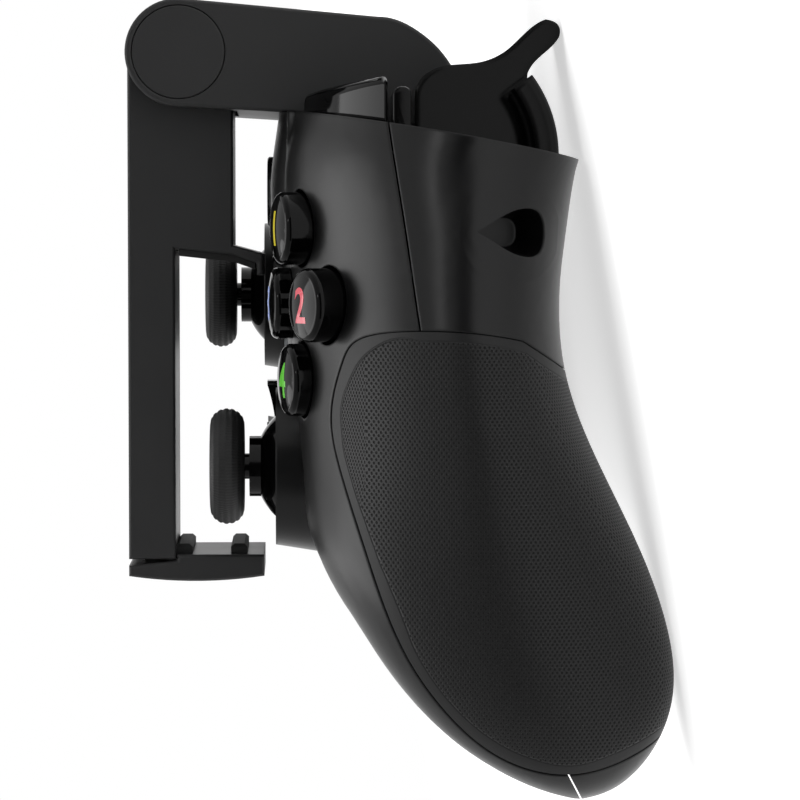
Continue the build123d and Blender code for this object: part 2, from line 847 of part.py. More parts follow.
# Home button, three small buttons and the light
round_keys = {"home_button": (home_x, home_y, home_radius, home_level)}
for name, (x, y) in small_buttons.items():
    round_keys[name] = (x, y, small_radius, face_level)
for name, (x, y, radius, level) in round_keys.items():
    with BuildPart() as round_key:
        with BuildSketch(Plane.XY.offset(level + small_rise)):
            with Locations((x, y)):
                Circle(radius)
        extrude(amount=-small_length)
        fillet(round_key.edges().group_by(Axis.Z)[-1], radius=small_rise / 2)
    keep(name, round_key.part)

with BuildPart() as status_light:
    with BuildSketch(Plane.XY.offset(face_level - small_rise)):
        with Locations((0, light_y)):
            Circle(light_radius)
    extrude(amount=-small_length / 2)
keep("status_light", status_light.part)

# Slide switch and charging socket in the lower edge
edge_face = -middle_bottom
with BuildPart() as mode_switch:
    with Locations((switch_x, edge_face + wall + fit_gap + switch_depth / 2, edge_level)):
        Box(switch_width, switch_depth, switch_height)
    with Locations((switch_x, edge_face + (wall + fit_gap) / 2, edge_level)):
        Box(switch_knob, wall + fit_gap, switch_knob)
keep("mode_switch", mode_switch.part)

with BuildPart() as usb_c_port:
    with BuildSketch(Plane.XZ.offset(-edge_face)):
        with Locations((0, edge_level)):
            RectangleRounded(socket_width, socket_height, socket_corner)
    extrude(amount=-socket_length)
    with BuildSketch(Plane.XZ.offset(-edge_face)):
        with Locations((0, edge_level)):
            opening_width = socket_width - 2 * socket_wall
            opening_height = socket_height - 2 * socket_wall
            RectangleRounded(opening_width, opening_height, socket_corner - socket_wall)
    extrude(amount=-socket_length + socket_wall, mode=Mode.SUBTRACT)
    with BuildSketch(Plane.XZ.offset(-edge_face - socket_length)):
        with Locations((0, edge_level)):
            Rectangle(socket_tongue_width, socket_tongue_thickness)
    extrude(amount=socket_tongue_length)
keep("usb_c_port", usb_c_port.part)

# Circuit board and cell
with BuildPart() as main_board:
    with BuildSketch(Plane.XY.offset(-board_front)):
        with BuildLine():
            Polyline(
                (-board_half_width, board_top),
                (-board_half_width, board_step),
                (-board_low_half_width, board_step),
                (-board_low_half_width, board_bottom),
                (board_low_half_width, board_bottom),
                (board_low_half_width, board_step),
                (board_half_width, board_step),
                (board_half_width, board_top),
                close=True,
            )
        make_face()
        with Locations(*casing_screw_places):
            Circle(screw_boss_radius + fit_gap, mode=Mode.SUBTRACT)
    extrude(amount=-board_thickness)
keep("main_board", main_board.part)

with BuildPart() as battery:
    with Locations((0, cell_y, board_back - fit_gap)):
        Box(cell_width, cell_height, cell_thickness, align=(Align.CENTER, Align.CENTER, Align.MAX))
keep("battery", battery.part)

# Shakers in the grips: motor with its shaft, and the off-centre weight
with BuildPart() as rumble_motor:
    with BuildSketch(Plane.XZ.offset(-shaker_y - shaker_length / 2)):
        with Locations((shaker_x, shaker_z)):
            Circle(shaker_radius)
    extrude(amount=shaker_length)
    with BuildSketch(Plane.XZ.offset(-shaker_y - shaker_length / 2)):
        with Locations((shaker_x, shaker_z)):
            Circle(shaker_shaft_radius)
    extrude(amount=-weight_thickness - weight_gap)
keep_pair("rumble_motor", rumble_motor.part)

with BuildPart() as rumble_weight:
    with BuildSketch(Plane.XZ.offset(-shaker_y - shaker_length / 2 - weight_gap)):
        with Locations((shaker_x, shaker_z)):
            Circle(weight_radius)
            with Locations((0, weight_radius + 2 * shaker_shaft_radius)):
                Rectangle(2 * weight_radius, 2 * weight_radius, mode=Mode.SUBTRACT)
            Circle(2 * shaker_shaft_radius)
            Circle(shaker_shaft_radius + hinge_gap, mode=Mode.SUBTRACT)
    extrude(amount=-weight_thickness)
keep_pair("rumble_weight", rumble_weight.part)


def screw_group(places, head_level, length, name):
    """Identical screws from behind, driven towards the face."""
    with BuildPart() as screws:
        with BuildSketch(Plane.XY.offset(head_level)):
            with Locations(*places):
                Circle(screw_head_radius)
        extrude(amount=screw_head_height)
        with BuildSketch(Plane.XY.offset(head_level + screw_head_height)):
            with Locations(*places):
                Circle(screw_radius)
        extrude(amount=length)
    keep(name, screws.part)


screw_group(casing_screw_places, screw_back - screw_head_height, screw_length, "casing_screws")
clip_head_level = arm_back_z + fit_gap
screw_group(clip_screw_places, clip_head_level, clip_screw_length, "clip_screws")

# Bumpers
bumper_length = bumper_outer - bumper_inner
bumper_width = bumper_front - bumper_back
with BuildPart() as bumper:
    with BuildSketch(Plane.XZ.offset(-bumper_foot)):
        with BuildLine():
            Polyline(
                (bumper_inner, bumper_back),
                *[
                    (bumper_inner + share_x * bumper_length, bumper_front - share_z * bumper_width)
                    for share_x, share_z in bumper_outline_shares
                ],
                (bumper_outer, bumper_back),
                close=True,
            )
        make_face()
    extrude(amount=-casing_height)
    with BuildSketch(Plane.YZ.offset(0)):
        with BuildLine():
            Polyline(
                (bumper_low_top, bumper_front),
                (bumper_high_top, bumper_back),
                (2 * casing_height, bumper_back),
                (2 * casing_height, bumper_front),
                close=True,
            )
        make_face()
    extrude(amount=half_width, mode=Mode.SUBTRACT)
    chamfer(bumper.faces().sort_by(Axis.Y)[-1].edges(), length=bumper_edge)
keep_pair("bumper", bumper.part)

# Shoulder brackets: a rail between bumper and trigger, with the two lugs of the trigger pin
trigger_axis = Axis((0, trigger_y, trigger_z), (1, 0, 0))
lug_radius = 2 * trigger_pin_radius
lug_places = (bracket_outer - bracket_lug, trigger_inner - fit_gap - bracket_lug)
with BuildPart() as shoulder_bracket:
    with BuildSketch(Plane.XY.offset(bracket_back)):
        with Locations((bracket_inner, bracket_foot)):
            Rectangle(bracket_outer - bracket_inner, bracket_top - bracket_foot, align=(Align.MIN, Align.MIN))
    extrude(amount=bracket_front - bracket_back)
    rail_top = shoulder_bracket.edges().group_by(Axis.Y)[-1].filter_by(Axis.X)
    fillet(rail_top, radius=bracket_round)
    with BuildSketch(Plane.YZ.offset(trigger_inner - fit_gap)):
        with Locations((trigger_y, trigger_z)):
            Circle(trigger_hub_radius + trigger_pin_gap + fit_gap)
    extrude(amount=bracket_outer - bracket_lug - trigger_inner + fit_gap, mode=Mode.SUBTRACT)
    for lug in lug_places:
        with BuildSketch(Plane.YZ.offset(lug)):
            with Locations((trigger_y, trigger_z)):
                Circle(lug_radius)
                lug_rise = bracket_front - trigger_z - wall / 2
                Rectangle(2 * lug_radius, lug_rise, align=(Align.CENTER, Align.MIN))
        extrude(amount=bracket_lug)
        with BuildSketch(Plane.YZ.offset(lug)):
            with Locations((trigger_y, trigger_z)):
                Circle(trigger_pin_radius + hinge_gap / 2)
        extrude(amount=bracket_lug, mode=Mode.SUBTRACT)
keep_pair("shoulder_bracket", shoulder_bracket.part)


def trigger_points(shares):
    """Points across the side view, from shares of the drum's radius around the trigger's pin."""
    scale = trigger_scale
    return [(trigger_y + share_y * scale, trigger_z + share_z * scale) for share_y, share_z in shares]


# Triggers: a hooked blade over a round drum with an outer lip
with BuildPart() as trigger:
    start = radians(trigger_drum_foot)
    drum_plane = Plane(
        origin=(0, trigger_y, trigger_z), x_dir=(1, 0, 0), z_dir=(0, cos(start), sin(start))
    )
    lip_x = trigger_outer + trigger_drum_lip
    inner_radius = trigger_drum_radius - trigger_drum_wall
    fillet_start = inner_radius - trigger_drum_lip
    fillet_turn = trigger_drum_lip * (1 - sin(radians(45)))
    with BuildSketch(drum_plane):
        with BuildLine():
            Polyline(
                (trigger_outer, fillet_start),
                (trigger_outer, trigger_hub_radius),
                (trigger_inner, trigger_hub_radius),
                (trigger_inner, trigger_drum_radius - trigger_drum_corner),
                (trigger_inner + trigger_drum_corner, trigger_drum_radius),
                (lip_x - trigger_lip_corner, trigger_drum_radius),
                (lip_x, trigger_drum_radius - trigger_lip_corner),
                (lip_x, inner_radius),
            )
            lip_mid = (trigger_outer + fillet_turn, inner_radius - fillet_turn)
            ThreePointArc((trigger_outer, fillet_start), lip_mid, (lip_x, inner_radius))
        make_face()
    revolve(axis=trigger_axis, revolution_arc=trigger_drum_top - trigger_drum_foot)
    hook = trigger_points(trigger_hook_shares)
    tip = trigger_points(trigger_tip_shares)
    under = trigger_points(trigger_under_shares)
    front_level = trigger_z + trigger_front
    foot = trigger_y + trigger_foot
    with BuildSketch(Plane.YZ.offset(trigger_inner)):
        with BuildLine():
            Spline(*hook, tip[0])
            Spline(*tip)
            Spline(tip[-1], *under)
            Polyline(
                under[-1],
                (foot, trigger_z - trigger_root_share * trigger_scale),
                (foot, front_level),
                hook[0],
            )
        make_face()
    extrude(amount=trigger_outer - trigger_inner)
    with BuildSketch(Plane.YZ.offset(trigger_inner)):
        with Locations((trigger_y, trigger_z)):
            Circle(trigger_hub_radius + trigger_pin_gap)
    extrude(amount=trigger_outer - trigger_inner)
    with BuildSketch(Plane.YZ.offset(trigger_inner)):
        with Locations((trigger_y, trigger_z)):
            Circle(trigger_pin_radius + trigger_pin_gap)
    extrude(amount=overrun, mode=Mode.SUBTRACT)
    with BuildSketch(Plane.YZ.offset(trigger_inner + bracket_lug)):
        with Locations((trigger_y, trigger_z)):
            Circle(spring_radius + fit_gap)
    extrude(amount=spring_width + 2 * fit_gap, mode=Mode.SUBTRACT)
keep_pair("trigger", trigger.part)

with BuildPart() as trigger_pin:
    with BuildSketch(Plane.YZ.offset(lug_places[1])):
        with Locations((trigger_y, trigger_z)):
            Circle(trigger_pin_radius)
    extrude(amount=bracket_outer - lug_places[1])
keep_pair("trigger_pin", trigger_pin.part)

with BuildPart() as trigger_spring:
    with BuildSketch(Plane.YZ.offset(trigger_inner + bracket_lug + fit_gap)):
        with Locations((trigger_y, trigger_z)):
            Circle(spring_radius)
            Circle(spring_radius - spring_wire, mode=Mode.SUBTRACT)
    extrude(amount=spring_width)
keep_pair("trigger_spring", trigger_spring.part)

# Arm of the phone clip: over the top edge and down the back, with a fork at the hinge
arm_top_y = clip_pivot_y + clip_half_thickness
arm_bend_y = arm_top_y - arm_back_drop
slot_wall_z = clip_pivot_z - clip_half_thickness - arm_slot_depth
with BuildPart() as clip_arm:
    leg_front_z = arm_back_z + arm_leg
    shoulder = [
        (arm_bend_y - arm_shoulder_height * (1 - share_y), arm_bend_z + (arm_back_z - arm_bend_z) * share_z)
        for share_y, share_z in arm_shoulder_shares
    ]
    under_front = (clip_pivot_y - clip_half_thickness, clip_pivot_z)
    under_mid = (rim_height(0) + arm_seat_gap, 0)
    under_back = (rim_height(leg_front_z) + arm_seat_gap, leg_front_z)
    with BuildSketch(Plane.YZ.offset(-arm_half_width)):
        with BuildLine():
            ThreePointArc(
                under_front, (clip_pivot_y, clip_pivot_z + clip_half_thickness), (arm_top_y, clip_pivot_z)
            )
            Line((arm_top_y, clip_pivot_z), (arm_bend_y, arm_bend_z))
            Spline((arm_bend_y, arm_bend_z), *shoulder)
            Polyline(
                shoulder[-1],
                (arm_leg_end, arm_back_z),
                (arm_leg_end, leg_front_z),
                under_back,
                under_mid,
                under_front,
            )
        make_face()
    extrude(amount=2 * arm_half_width)
    outline_edges = clip_arm.faces().filter_by(Axis.X).edges()
    chamfer(outline_edges, length=clip_edge)
    slot_half = clip_half_width + arm_slot_gap
    with Locations((0, clip_pivot_y, slot_wall_z)):
        Box(
            2 * slot_half,
            overrun,
            overrun,
            align=(Align.CENTER, Align.CENTER, Align.MIN),
            mode=Mode.SUBTRACT,
        )
    with BuildSketch(Plane.YZ.offset(-half_width)):
        with Locations((clip_pivot_y, clip_pivot_z)):
            Circle(hinge_pin_radius + hinge_gap / 2)
    extrude(amount=2 * half_width, mode=Mode.SUBTRACT)
    for side in (-1, 1):
        with BuildSketch(Plane.YZ.offset(side * (arm_half_width - disc_thickness))):
            with Locations((clip_pivot_y, clip_pivot_z)):
                Circle(disc_radius + disc_gap)
        extrude(amount=side * overrun, mode=Mode.SUBTRACT)
    for x, y in clip_screw_places:
        with BuildSketch(Plane.XY.offset(leg_front_z)):
            with Locations((x, y)):
                Circle(screw_radius + fit_gap)
        extrude(amount=-overrun, mode=Mode.SUBTRACT)
        with BuildSketch(Plane.XY.offset(clip_head_level + screw_head_height)):
            with Locations((x, y)):
                Circle(screw_head_radius + fit_gap)
        extrude(amount=-overrun, mode=Mode.SUBTRACT)
keep("clip_arm", clip_arm.part)

with BuildPart() as hinge_pin:
    pin_half_length = arm_half_width - disc_thickness
    with BuildSketch(Plane.YZ.offset(-pin_half_length)):
        with Locations((clip_pivot_y, clip_pivot_z)):
            Circle(hinge_pin_radius)
    extrude(amount=2 * pin_half_length)
keep("hinge_pin", hinge_pin.part)

with BuildPart() as hinge_disc:
    with BuildSketch(Plane.YZ.offset(pin_half_length)):
        with Locations((clip_pivot_y, clip_pivot_z)):
            Circle(disc_radius)
    extrude(amount=disc_thickness)
keep_pair("hinge_disc", hinge_disc.part)

with BuildPart() as hinge_washers:
    for side in (-1, 1):
        with BuildSketch(Plane.YZ.offset(side * (clip_half_width + washer_gap))):
            with Locations((clip_pivot_y, clip_pivot_z)):
                Circle(washer_radius)
                Circle(hinge_pin_radius + hinge_gap, mode=Mode.SUBTRACT)
        extrude(amount=side * (arm_slot_gap - 2 * washer_gap))
keep("hinge_washers", hinge_washers.part)

# Folding body of the clip with its fixed upper jaw
clip_outer_z = clip_pivot_z + clip_half_thickness
clip_inner_z = clip_pivot_z - clip_half_thickness
thin_inner_z = clip_outer_z - clip_thin
jaw_tip_z = clip_outer_z - jaw_reach
jaw_root_y = clip_thick_end - clip_slope
jaw_tip_y = jaw_root_y - jaw_droop
pocket_back_z = clip_outer_z - clip_wall
pocket_front_z = thin_inner_z + clip_wall
pocket_half = clip_half_width - clip_wall
with BuildPart() as clip_body:
    with BuildSketch(Plane.YZ.offset(-clip_half_width)):
        with BuildLine():
            ThreePointArc(
                (clip_pivot_y, clip_outer_z),
                (clip_pivot_y + clip_half_thickness, clip_pivot_z),
                (clip_pivot_y, clip_inner_z),
            )
            Polyline(
                (clip_pivot_y, clip_inner_z),
                (jaw_root_y + jaw_thickness, clip_inner_z),
                (jaw_tip_y + jaw_thickness, jaw_tip_z),
                (jaw_tip_y - jaw_lip_height, jaw_tip_z),
                (jaw_tip_y - jaw_lip_height, jaw_tip_z + jaw_lip),
                (jaw_tip_y, jaw_tip_z + jaw_lip),
                (jaw_root_y, clip_inner_z),
                (clip_thick_end, thin_inner_z),
                (clip_end, thin_inner_z),
                (clip_end, clip_outer_z),
                (clip_pivot_y, clip_outer_z),
            )
        make_face()
    extrude(amount=2 * clip_half_width)
    chamfer(clip_body.faces().filter_by(Axis.X).edges(), length=clip_edge)
    with Locations((0, slot_top, pocket_front_z)):
        Box(
            2 * pocket_half,
            slot_top - clip_end + clip_edge,
            pocket_back_z - pocket_front_z,
            align=(Align.CENTER, Align.MAX, Align.MIN),
            mode=Mode.SUBTRACT,
        )
    with Locations((0, clip_thick_end - tongue_gap, thin_inner_z - fit_gap)):
        Box(
            2 * pocket_half,
            clip_thick_end - tongue_gap - clip_end + clip_edge,
            clip_wall + fit_gap,
            align=(Align.CENTER, Align.MAX, Align.MIN),
            mode=Mode.SUBTRACT,
        )
    with BuildSketch(Plane.YZ.offset(-half_width)):
        with Locations((clip_pivot_y, clip_pivot_z)):
            Circle(hinge_pin_radius + hinge_gap)
    extrude(amount=2 * half_width, mode=Mode.SUBTRACT)
keep("clip_body", clip_body.part)

cover_gap = tongue_gap / 2
with BuildPart() as clip_cover:
    with Locations((0, clip_end, thin_inner_z)):
        Box(
            2 * (pocket_half - cover_gap),
            clip_thick_end - tongue_gap - cover_gap - clip_end,
            clip_wall - cover_gap,
            align=(Align.CENTER, Align.MIN, Align.MIN),
        )
keep("clip_cover", clip_cover.part)

# Rubber strip under the upper jaw
strip_start_z = thin_inner_z - jaw_pad_inset
strip_end_z = jaw_tip_z + jaw_lip + fit_gap
jaw_slope = (jaw_root_y - clip_thick_end) / (clip_inner_z - thin_inner_z)
tip_slope = (jaw_tip_y - jaw_root_y) / (jaw_tip_z + jaw_lip - clip_inner_z)
with BuildPart() as upper_jaw_pad:
    start_y = clip_thick_end + jaw_slope * (strip_start_z - thin_inner_z)
    end_y = jaw_root_y + tip_slope * (strip_end_z - clip_inner_z)
    with BuildSketch(Plane.YZ.offset(-clip_half_width + jaw_pad_inset)):
        with BuildLine():
            Polyline(
                (start_y, strip_start_z),
                (jaw_root_y, clip_inner_z),
                (end_y, strip_end_z),
                (end_y - jaw_pad_thickness, strip_end_z),
                (jaw_root_y - jaw_pad_thickness, clip_inner_z),
                (start_y - jaw_pad_thickness, strip_start_z),
                close=True,
            )
        make_face()
    extrude(amount=2 * (clip_half_width - jaw_pad_inset))
keep("upper_jaw_pad", upper_jaw_pad.part)

# Sliding lower jaw with its tongue inside the body
low_jaw_seat = clip_end - low_jaw_gap
with BuildPart() as sliding_jaw:
    with BuildSketch(Plane.YZ.offset(-clip_half_width)):
        with BuildLine():
            jaw_mid_z = (clip_outer_z + jaw_tip_z) / 2
            Polyline(
                (low_jaw_bottom, jaw_tip_z),
                (low_jaw_top, jaw_tip_z),
                (low_jaw_top, thin_inner_z - low_jaw_gap),
                (low_jaw_seat, thin_inner_z - low_jaw_gap),
                (low_jaw_seat - low_jaw_wedge, clip_outer_z),
                (low_jaw_bottom, clip_outer_z),
            )
            ThreePointArc(
                (low_jaw_bottom, clip_outer_z),
                (low_jaw_bottom - low_jaw_bow, jaw_mid_z),
                (low_jaw_bottom, jaw_tip_z),
            )
        make_face()
    extrude(amount=2 * clip_half_width)
    chamfer(sliding_jaw.faces().filter_by(Axis.X).edges(), length=clip_edge)
    tongue_z = (pocket_front_z + pocket_back_z - tongue_thickness) / 2
    with Locations((0, tongue_top, tongue_z)):
        Box(
            tongue_width,
            tongue_top - low_jaw_seat + low_jaw_wedge + clip_edge,
            tongue_thickness,
            align=(Align.CENTER, Align.MAX, Align.MIN),
        )
keep("sliding_jaw", sliding_jaw.part)

with BuildPart() as lower_jaw_pads:
    for place in rib_places:
        with BuildSketch(Plane.XZ.offset(-low_jaw_top)):
            with Locations((0, place)):
                Rectangle(2 * rib_half_length, rib_width)
        extrude(amount=-rib_height)
    chamfer(lower_jaw_pads.edges().group_by(Axis.Y)[-1], length=rib_taper)
keep("lower_jaw_pads", lower_jaw_pads.part)

# Springs beside the tongue, from the top of the pocket to the jaw
with BuildPart() as jaw_springs:
    spring_z = (pocket_front_z + pocket_back_z) / 2
    spring_foot = low_jaw_seat + fit_gap
    with BuildSketch(Plane.XZ.offset(-spring_foot)):
        with Locations((-jaw_spring_x, spring_z), (jaw_spring_x, spring_z)):
            Circle(jaw_spring_radius)
    extrude(amount=-(slot_top - fit_gap - spring_foot))
keep("jaw_springs", jaw_springs.part)

# All pieces are tilted onto the grips' backs and the rear edge, with the origin below their middle
tilt = Location((0, 0, 0), (-seat_tilt, 0, 0))
tilted = {name: shape.moved(tilt) for name, shape in pieces.items()}
points = [point for shape in tilted.values() for point in shape.tessellate(seat_accuracy)[0]]
seat = Location(
    (
        -(min(point.X for point in points) + max(point.X for point in points)) / 2,
        -(min(point.Y for point in points) + max(point.Y for point in points)) / 2,
        -min(point.Z for point in points),
    )
)
for name, shape in tilted.items():
    placed = shape.moved(seat)
    placed.label = name
    export_step(placed, f"parts/{name}.step")
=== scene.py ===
import math

import bmesh
import bpy
import numpy as np
from mathutils import Matrix, Vector


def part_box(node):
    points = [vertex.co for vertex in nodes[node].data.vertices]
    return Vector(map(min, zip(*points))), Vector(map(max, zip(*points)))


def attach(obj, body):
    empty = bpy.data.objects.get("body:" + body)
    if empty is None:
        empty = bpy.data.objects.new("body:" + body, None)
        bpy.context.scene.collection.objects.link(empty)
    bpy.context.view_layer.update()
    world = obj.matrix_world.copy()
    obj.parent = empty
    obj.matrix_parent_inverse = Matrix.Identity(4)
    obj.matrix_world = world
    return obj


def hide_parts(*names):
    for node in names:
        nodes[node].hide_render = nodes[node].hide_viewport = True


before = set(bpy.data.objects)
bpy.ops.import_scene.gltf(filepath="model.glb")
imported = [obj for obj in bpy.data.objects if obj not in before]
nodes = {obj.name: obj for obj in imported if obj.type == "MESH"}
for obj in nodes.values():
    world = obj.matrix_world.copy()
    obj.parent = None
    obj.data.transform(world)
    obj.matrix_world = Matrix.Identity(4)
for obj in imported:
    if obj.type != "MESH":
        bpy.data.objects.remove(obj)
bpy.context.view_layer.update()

# The face frame: X to the right hand, Y from the grips to the triggers, Z out of the face, in millimetres.
# The part lies tilted, so places in it are turned about X and moved to where the hinge pin is.
PER_METRE = 1000
TILT = math.radians(-9.7)
PIN_HEIGHT = 28.3
PIN_OUT = 18.0
TURN = Matrix.Rotation(TILT, 3, "X")
pin_low, pin_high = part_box("hinge_pin")
pin_place = Vector((0, PIN_HEIGHT / PER_METRE, PIN_OUT / PER_METRE))
SHIFT = (Vector(pin_low) + Vector(pin_high)) / 2 - TURN @ pin_place
FACE = Matrix.Translation(SHIFT) @ TURN.to_4x4() @ Matrix.Scale(1 / PER_METRE, 4)


def at(x, y, z):
    """Place in the row frame of a point of the face frame."""
    return TURN @ (Vector((x, y, z)) / PER_METRE) + SHIFT


def along(x, y, z):
    """Direction in the row frame of a direction of the face frame."""
    return (TURN @ Vector((x, y, z))).normalized()


# Node helpers
COAT_ROUGH = 0.03


class Graph:
    """Short calls for building a material's nodes."""

    def __init__(self, name, color, rough, level=0.5, metal=0.0, coat=0.0):
        self.material = bpy.data.materials.new(name)
        self.material.use_nodes = True
        self.tree = self.material.node_tree
        self.shader = self.tree.nodes["Principled BSDF"]
        self.shader.inputs["Base Color"].default_value = (*color, 1)
        self.shader.inputs["Roughness"].default_value = rough
        self.shader.inputs["Specular IOR Level"].default_value = level
        self.shader.inputs["Metallic"].default_value = metal
        self.shader.inputs["Coat Weight"].default_value = coat
        self.shader.inputs["Coat Roughness"].default_value = COAT_ROUGH
        self.place = self.tree.nodes.new("ShaderNodeTexCoord").outputs["Object"]

    def feed(self, socket, value):
        """Give a socket another node's output or a plain value."""
        if value is None:
            return
        if isinstance(value, bpy.types.NodeSocket):
            self.tree.links.new(value, socket)
        else:
            socket.default_value = value

    def math(self, operation, a, b=None):
        node = self.tree.nodes.new("ShaderNodeMath")
        node.operation = operation
        for socket, value in zip(node.inputs, (a, b)):
            self.feed(socket, value)
        return node.outputs[0]

    def vector(self, operation, a, b=None):
        node = self.tree.nodes.new("ShaderNodeVectorMath")
        node.operation = operation
        for socket, value in zip(node.inputs, (a, b)):
            self.feed(socket, value)
        return node.outputs[0]

    def length(self, place):
        node = self.tree.nodes.new("ShaderNodeVectorMath")
        node.operation = "LENGTH"
        self.tree.links.new(place, node.inputs[0])
        return node.outputs["Value"]

    def parts(self, place):
        node = self.tree.nodes.new("ShaderNodeSeparateXYZ")
        self.tree.links.new(place, node.inputs[0])
        return node.outputs

    def joined(self, x, y, z=0.0):
        node = self.tree.nodes.new("ShaderNodeCombineXYZ")
        for socket, value in zip(node.inputs, (x, y, z)):
            self.feed(socket, value)
        return node.outputs[0]

    def noise(self, scale, detail=3.0, rough=0.5, place=None):
        node = self.tree.nodes.new("ShaderNodeTexNoise")
        self.tree.links.new(place or self.place, node.inputs["Vector"])
        node.inputs["Scale"].default_value = scale
        node.inputs["Detail"].default_value = detail
        node.inputs["Roughness"].default_value = rough
        return node.outputs["Fac"]

    def between(self, value, low, high, start, end):
        """Smooth change from start to end while the value goes from low to high."""
        node = self.tree.nodes.new("ShaderNodeMapRange")
        node.interpolation_type = "SMOOTHSTEP"
        self.tree.links.new(value, node.inputs["Value"])
        for name, number in zip(("From Min", "From Max", "To Min", "To Max"), (low, high, start, end)):
            node.inputs[name].default_value = number
        return node.outputs["Result"]

    def tint(self, value, first, second):
        """Colour that goes from the first to the second with the value."""
        node = self.tree.nodes.new("ShaderNodeMix")
        node.data_type = "RGBA"
        self.tree.links.new(value, node.inputs["Factor"])
        node.inputs["A"].default_value = (*first, 1)
        node.inputs["B"].default_value = (*second, 1)
        return node.outputs["Result"]

    def bump(self, height, depth, before=None):
        """Normal of a relief of the given depth in millimetres."""
        node = self.tree.nodes.new("ShaderNodeBump")
        node.inputs["Strength"].default_value = 1.0
        node.inputs["Distance"].default_value = depth / PER_METRE
        self.tree.links.new(height, node.inputs["Height"])
        if before is not None:
            self.tree.links.new(before, node.inputs["Normal"])
        return node.outputs["Normal"]

    def softened(self, normal, reach):
        """Normal that rounds sharp edges over the given reach in millimetres."""
        node = self.tree.nodes.new("ShaderNodeBevel")
        node.samples = 6
        node.inputs["Radius"].default_value = reach / PER_METRE
        self.tree.links.new(normal, node.inputs["Normal"])
        return node.outputs["Normal"]

    def set(self, name, value):
        self.tree.links.new(value, self.shader.inputs[name])

    def face_place(self):
        """Object coordinates in the face frame, in millimetres."""
        moved = self.vector("SUBTRACT", self.place, tuple(SHIFT))
        node = self.tree.nodes.new("ShaderNodeVectorRotate")
        node.rotation_type = "X_AXIS"
        self.tree.links.new(moved, node.inputs["Vector"])
        node.inputs["Angle"].default_value = -TILT
        return self.vector("MULTIPLY", node.outputs["Vector"], (PER_METRE, PER_METRE, PER_METRE))


def scaled(color, share):
    """Colour made darker or lighter by a share."""
    return tuple(part * share for part in color)


# Finishes: a grain is given by its size and its depth in millimetres
BROAD_PATCHES = 38.0
COLOR_CHANGE = 0.18
ROUGH_CHANGE = 0.08


def moulded(name, color, rough, level, grain, coat=0.0, soft=0.0):
    """Moulded plastic: fine grain, slight change of roughness and of colour, and softened edges."""
    graph = Graph(name, color, rough, level, coat=coat)
    grain_size, grain_depth = grain
    fine = graph.noise(PER_METRE / grain_size, 2.0, 0.6)
    broad = graph.noise(BROAD_PATCHES)
    darker, lighter = scaled(color, 1 - COLOR_CHANGE), scaled(color, 1 + COLOR_CHANGE)
    smoother, rougher = rough * (1 - ROUGH_CHANGE), rough * (1 + ROUGH_CHANGE)
    graph.set("Base Color", graph.tint(broad, darker, lighter))
    graph.set("Roughness", graph.between(broad, 0.3, 0.7, smoother, rougher))
    normal = graph.bump(fine, grain_depth)
    if soft:
        normal = graph.softened(normal, soft)
    graph.set("Normal", normal)
    return graph.material


def metal(name, color, rough, stretch):
    """Turned or brushed metal with fine lines across one axis."""
    graph = Graph(name, color, rough, metal=1.0)
    lines = graph.noise(900.0, 4.0, 0.7, graph.vector("MULTIPLY", graph.place, stretch))
    graph.set("Roughness", graph.between(lines, 0.25, 0.75, rough * 0.8, rough * 1.25))
    graph.set("Base Color", graph.tint(lines, scaled(color, 0.85), color))
    graph.set("Normal", graph.bump(lines, 0.01))
    return graph.material


def rubber(name, color, rough, grain):
    """Plain matt rubber with a coarse grain."""
    graph = Graph(name, color, rough, 0.35)
    grain_size, grain_depth = grain
    coarse = graph.noise(PER_METRE / grain_size, 3.0, 0.65)
    graph.set("Base Color", graph.tint(coarse, scaled(color, 0.7), scaled(color, 1.25)))
    graph.set("Normal", graph.bump(coarse, grain_depth))
    return graph.material


CASING = moulded("casing satin", (0.0035, 0.0035, 0.0037), 0.3, 0.27, (0.16, 0.006), soft=0.5)
GLOSS = moulded("gloss black", (0.0015, 0.0015, 0.0016), 0.07, 0.14, (0.9, 0.0012))
TRIGGER = moulded("trigger gloss", (0.0015, 0.0015, 0.0016), 0.07, 0.12, (0.9, 0.0012), soft=1.1)
CLIP = moulded("clip grey", (0.031, 0.031, 0.0314), 0.42, 0.25, (0.22, 0.008), soft=0.35)
JAW_RUBBER = rubber("jaw rubber", (0.012, 0.012, 0.012), 0.7, (0.5, 0.05))
STICK_RUBBER = rubber("stick rubber", (0.016, 0.016, 0.0162), 0.5, (0.3, 0.03))
MAT_RUBBER = rubber("mat rubber", (0.3, 0.3, 0.31), 0.6, (0.4, 0.02))
STEEL = metal("steel", (0.55, 0.55, 0.56), 0.3, (1, 6, 1))
BRASS = metal("brass", (0.6, 0.42, 0.17), 0.3, (1, 1, 6))
BOARD = moulded("board lacquer", (0.01, 0.07, 0.03), 0.3, 0.5, (0.8, 0.01), coat=0.5)
CELL = moulded("cell wrap", (0.25, 0.27, 0.29), 0.45, 0.5, (1.5, 0.02))
LIGHT = moulded("light window", (0.7, 0.73, 0.75), 0.2, 0.5, (0.5, 0.004))
HOME = moulded("home cap", (0.03, 0.03, 0.031), 0.18, 0.5, (0.6, 0.002), coat=0.4)

